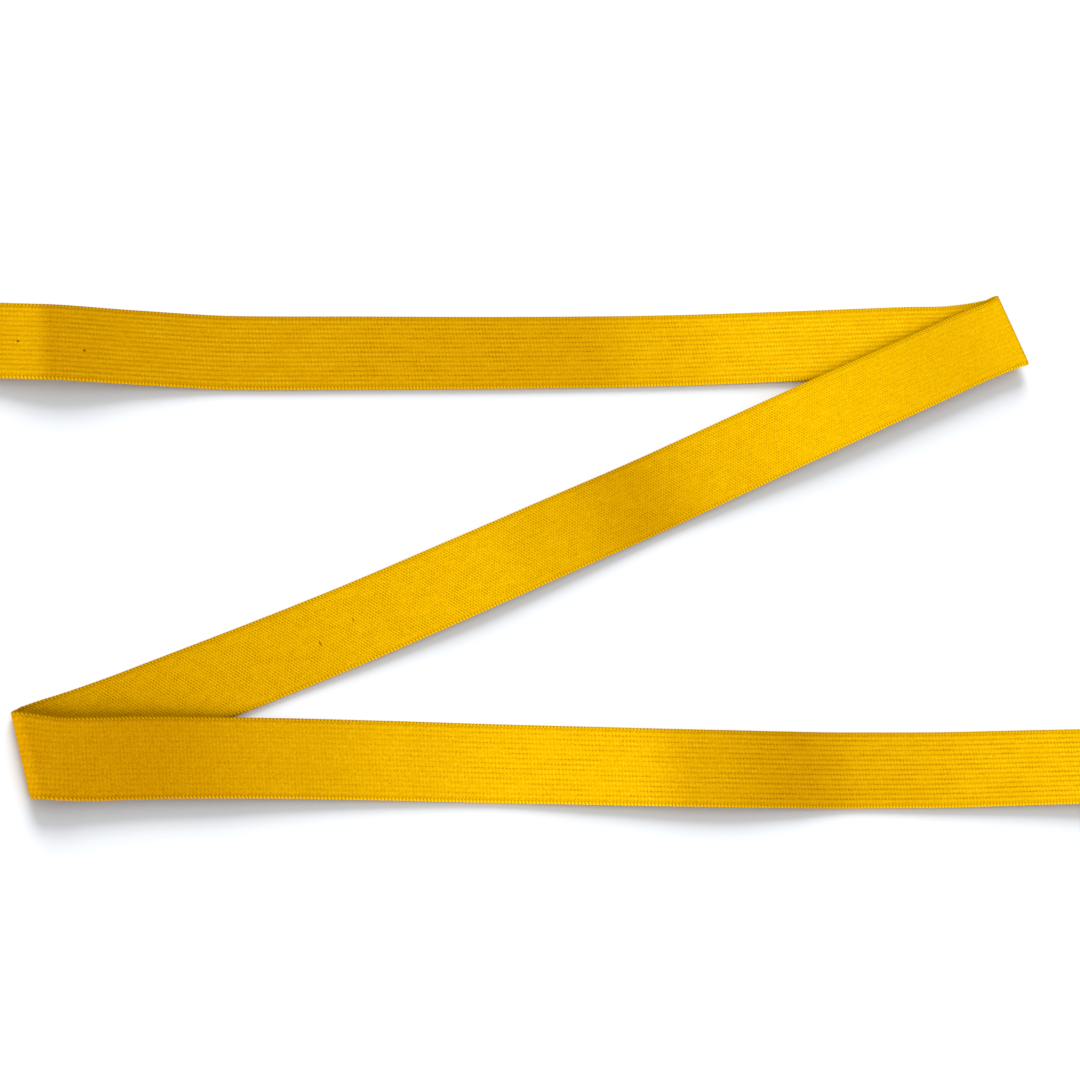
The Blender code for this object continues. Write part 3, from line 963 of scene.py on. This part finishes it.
for body, start, end, other, bend in LENGTHS:
    halves = [(start, end, "")]
    if other is None:
        middle = (start + end) / 2
        halves = [(start, middle, "_first"), (middle, end, "_second")]
    for low, high, suffix in halves:
        face = face_piece(body + "_face" + suffix, low, high, face_look)
        attach(face, body, other)
        if suffix != "_second":
            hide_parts(body + "_face_knit", body + "_rib_filling")
    back = back_piece(body + "_back", start, end, back_look)
    attach(back, body, other)
    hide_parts(body + "_back_knit")
    for side, sign in (("left", 1), ("right", -1)):
        cord = cord_piece(f"{body}_{side}_edge", start, end, sign, cord_look)
        attach(cord, body, other)
        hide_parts(f"{body}_{side}_selvedge")

# ---------------------------------------------------------------- hems

HEM_LENGTH = 14 * MM
HEM_TOP = -1.45 * MM
HEM_BOTTOM = -2.45 * MM
HEM_COLUMNS = 58
HEM_STEPS = 8
HEM_INNER = -1.25 * MM
HEM_START = 0.02 * MM
HEM_LIP = 0.2 * MM
# Columns at the hem's sides: place across and how far the hem is drawn in there.
HEM_KNIT = 18.5 * MM
HEM_SIDES = ((19.3 * MM, 0.35 * MM), (19.1 * MM, 0.1 * MM))
HEM_FLATTEST = 0.3 * MM
NOSE_TOP = CREST - 0.05 * MM
NOSE_RADIUS = (NOSE_TOP - HEM_BOTTOM) / 2
NOSE_MIDDLE = (NOSE_TOP + HEM_BOTTOM) / 2
NOSE_LENGTH = 0.8
NOSE_STEPS = 12

STITCH_LENGTH = 2.3 * MM
STITCH_RADIUS = 0.20 * MM
STITCH_ROWS = (3 * MM, 11 * MM)
# Height of each face's stitches, and how far their ends sink into the knit.
STITCH_LEVELS = ((CREST, 0.30 * MM), (HEM_BOTTOM, -0.25 * MM))
STITCH_RINGS = 7
STITCH_SIDES = 8


def end_points(lower, s, v, w):
    """Places beside a free end; s counts inward from the end and may be negative."""
    path = paths[2] if lower else paths[0]
    edge = TOTAL if lower else 0.0
    inward = -1.0 if lower else 1.0
    inside = np.maximum(s, 0)
    places = path.place(edge + inward * inside, v, w)
    travel = path.travel[-1] if lower else path.travel[0]
    return places + np.minimum(s, 0)[..., None] * inward * unit(travel)


def hem_outline():
    """The turned-under end in side view: round the end of the strap and back below it."""
    points = [(HEM_START, HEM_INNER), (HEM_START, NOSE_TOP)]
    for k in range(1, NOSE_STEPS):
        turn = math.pi / 2 + math.pi * k / NOSE_STEPS
        points.append((NOSE_RADIUS * math.cos(turn) * NOSE_LENGTH,
                       NOSE_MIDDLE + NOSE_RADIUS * math.sin(turn)))
    points += [(0.0, HEM_BOTTOM)]
    points += [(HEM_LENGTH * k / HEM_STEPS, HEM_BOTTOM) for k in range(1, HEM_STEPS)]
    points += [(HEM_LENGTH - HEM_LIP, HEM_BOTTOM), (HEM_LENGTH, HEM_BOTTOM + 0.25 * MM)]
    points += [(HEM_LENGTH, HEM_TOP - HEM_LIP), (HEM_LENGTH - HEM_LIP, HEM_TOP)]
    points += [(HEM_LENGTH * k / HEM_STEPS, HEM_TOP) for k in range(HEM_STEPS - 1, 0, -1)]
    return np.array(points)


def hem_piece(name, lower, material):
    """The turned-under end as one closed piece, a little rounded at its sides."""
    outline = hem_outline()
    side_v, side_inset = np.array(HEM_SIDES).T
    knit = np.linspace(-HEM_KNIT, HEM_KNIT, HEM_COLUMNS)
    across = np.concatenate([-side_v, knit, side_v[::-1]])
    inset = np.concatenate([side_inset, np.zeros(HEM_COLUMNS), side_inset[::-1]])[:, None]
    s = np.tile(outline[:, 0], (len(across), 1))
    w = np.tile(outline[:, 1], (len(across), 1))
    w = w + np.sign(NOSE_MIDDLE - w) * np.minimum(inset, HEM_FLATTEST) * (s < 0)
    s = np.where(s < 0, s + np.minimum(inset, -s * 0.5), s)
    v = np.tile(across[:, None], (1, len(outline)))
    places = end_points(lower, s, v, w)
    steps = np.linalg.norm(np.diff(outline, axis=0), axis=1)
    travel = np.concatenate([[0], np.cumsum(steps)])
    u = np.tile(np.concatenate([travel, travel[-1:]]), (len(across), 1))
    return tube(name, places, u, np.tile(across[:, None], (1, len(outline) + 1)), material)


def stitches(name, lower, material):
    """Rows of lock stitches across the hem, seen on both faces."""
    t = np.linspace(-1, 1, STITCH_RINGS)[:, None]
    turn = 2 * math.pi * np.arange(STITCH_SIDES)[None] / STITCH_SIDES
    radius = STITCH_RADIUS * np.sqrt(np.maximum(1 - np.abs(t) ** 4, 0.02))
    u = np.tile(np.linspace(0, STITCH_LENGTH, STITCH_RINGS)[:, None], (1, STITCH_SIDES + 1))
    around_uv = np.tile(np.arange(STITCH_SIDES + 1) / STITCH_SIDES, (STITCH_RINGS, 1))
    pieces = []
    for row in STITCH_ROWS:
        for level, sink in STITCH_LEVELS:
            for k in range(-RIB_COUNT // 2, RIB_COUNT // 2):
                middle = (k + 0.5) * RIB_PITCH
                v = np.tile(middle + t * STITCH_LENGTH / 2, (1, STITCH_SIDES))
                lift = STITCH_RADIUS * 0.4 - sink * np.abs(t) ** 3
                w = level + lift + radius * np.sin(turn)
                places = end_points(lower, row + radius * np.cos(turn), v, w)
                stitch_name = f"{name}_{len(pieces)}"
                pieces.append(tube(stitch_name, places, u, around_uv, material))
    target = pieces[0]
    with bpy.context.temp_override(
        active_object=target, selected_editable_objects=pieces, object=target
    ):
        bpy.ops.object.join()
    target.name = name
    target.data.name = name
    return target


for body, lower in (("upper_end_tip", False), ("lower_end_tip", True)):
    hem = hem_piece(body + "_hem", lower, back_look)
    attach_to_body(hem, body)
    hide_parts(body + "_hem_flap")
    seam = stitches(body + "_stitching", lower, thread_look)
    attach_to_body(seam, body)
    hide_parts(body + "_hem_thread")

# ---------------------------------------------------------------- floor, light and camera

FLOOR_HALF = 6.0
FLOOR_DROP = 0.2 * MM
FLOOR_COLOUR = (0.80, 0.825, 0.86, 1)


def floor():
    """White ground under the strap; not a part of the object."""
    mesh = bpy.data.meshes.new("floor")
    signs = ((-1, -1), (1, -1), (1, 1), (-1, 1))
    corners = [(x * FLOOR_HALF, y * FLOOR_HALF, -FLOOR_DROP) for x, y in signs]
    mesh.from_pydata(corners, [], [(0, 1, 2, 3)])
    plane = bpy.data.objects.new("floor", mesh)
    bpy.context.scene.collection.objects.link(plane)
    material = bpy.data.materials.new("floor")
    material.use_nodes = True
    shader = material.node_tree.nodes["Principled BSDF"]
    shader.inputs["Base Color"].default_value = FLOOR_COLOUR
    shader.inputs["Roughness"].default_value = 0.9
    shader.inputs["Specular IOR Level"].default_value = 0.0
    mesh.materials.append(material)
    return plane


def sun(name, azimuth, elevation, strength, spread, receivers):
    """A distant light from an azimuth (from +X towards +Y) and elevation in degrees."""
    light = bpy.data.lights.new(name, "SUN")
    light.energy = strength
    light.angle = math.radians(spread)
    lamp = bpy.data.objects.new(name, light)
    a, e = math.radians(azimuth), math.radians(elevation)
    towards = Vector((math.cos(a) * math.cos(e), math.sin(a) * math.cos(e), math.sin(e)))
    lamp.rotation_mode = "QUATERNION"
    lamp.rotation_quaternion = towards.to_track_quat("Z", "Y")
    bpy.context.scene.collection.objects.link(lamp)
    lamp.light_linking.receiver_collection = receivers


def world(strength):
    """Even white light from all around."""
    scene_world = bpy.data.worlds.new("studio")
    scene_world.use_nodes = True
    background = scene_world.node_tree.nodes["Background"]
    background.inputs["Color"].default_value = (1, 1, 1, 1)
    background.inputs["Strength"].default_value = strength
    bpy.context.scene.world = scene_world


SENSOR = 36.0
LENS = 320 / 3
CAMERA_TILT = math.radians(27.90)
CAMERA_AZIMUTH = math.radians(-133.86)
CAMERA_ROLL = math.radians(6.14)
CAMERA_DISTANCE = 1.620
CAMERA_TARGET = (-0.0086, 0, 0)


def camera():
    """Long lens that looks down on the strap."""
    data = bpy.data.cameras.new("camera")
    data.sensor_width = SENSOR
    data.lens = LENS
    data.clip_start, data.clip_end = 0.05, 20
    holder = bpy.data.objects.new("camera", data)
    back = Vector(
        (
            math.sin(CAMERA_TILT) * math.cos(CAMERA_AZIMUTH),
            math.sin(CAMERA_TILT) * math.sin(CAMERA_AZIMUTH),
            math.cos(CAMERA_TILT),
        )
    )
    up = Vector((math.sin(CAMERA_ROLL), math.cos(CAMERA_ROLL), 0))
    up = (up - back * up.dot(back)).normalized()
    side = up.cross(back)
    turned = Matrix((side, up, back)).transposed().to_4x4()
    turned.translation = Vector(CAMERA_TARGET) + back * CAMERA_DISTANCE
    holder.matrix_world = turned
    bpy.context.scene.collection.objects.link(holder)
    bpy.context.scene.camera = holder


ground = floor()
ground_only = bpy.data.collections.new("ground_only")
ground_only.objects.link(ground)
all_but_ground = bpy.data.collections.new("all_but_ground")
all_but_ground.objects.link(ground)
all_but_ground.collection_objects[0].light_linking.link_state = "EXCLUDE"
SHADOW_SUN = {"azimuth": 90, "elevation": 27, "strength": 4.0, "spread": 40}
FRONT_SUN = {"azimuth": -128, "elevation": 34, "strength": 2.7, "spread": 40}
sun("drop_shadow", **SHADOW_SUN, receivers=ground_only)
sun("front", **FRONT_SUN, receivers=all_but_ground)
world(0.78)
camera()
bpy.context.scene.view_settings.view_transform = "Standard"
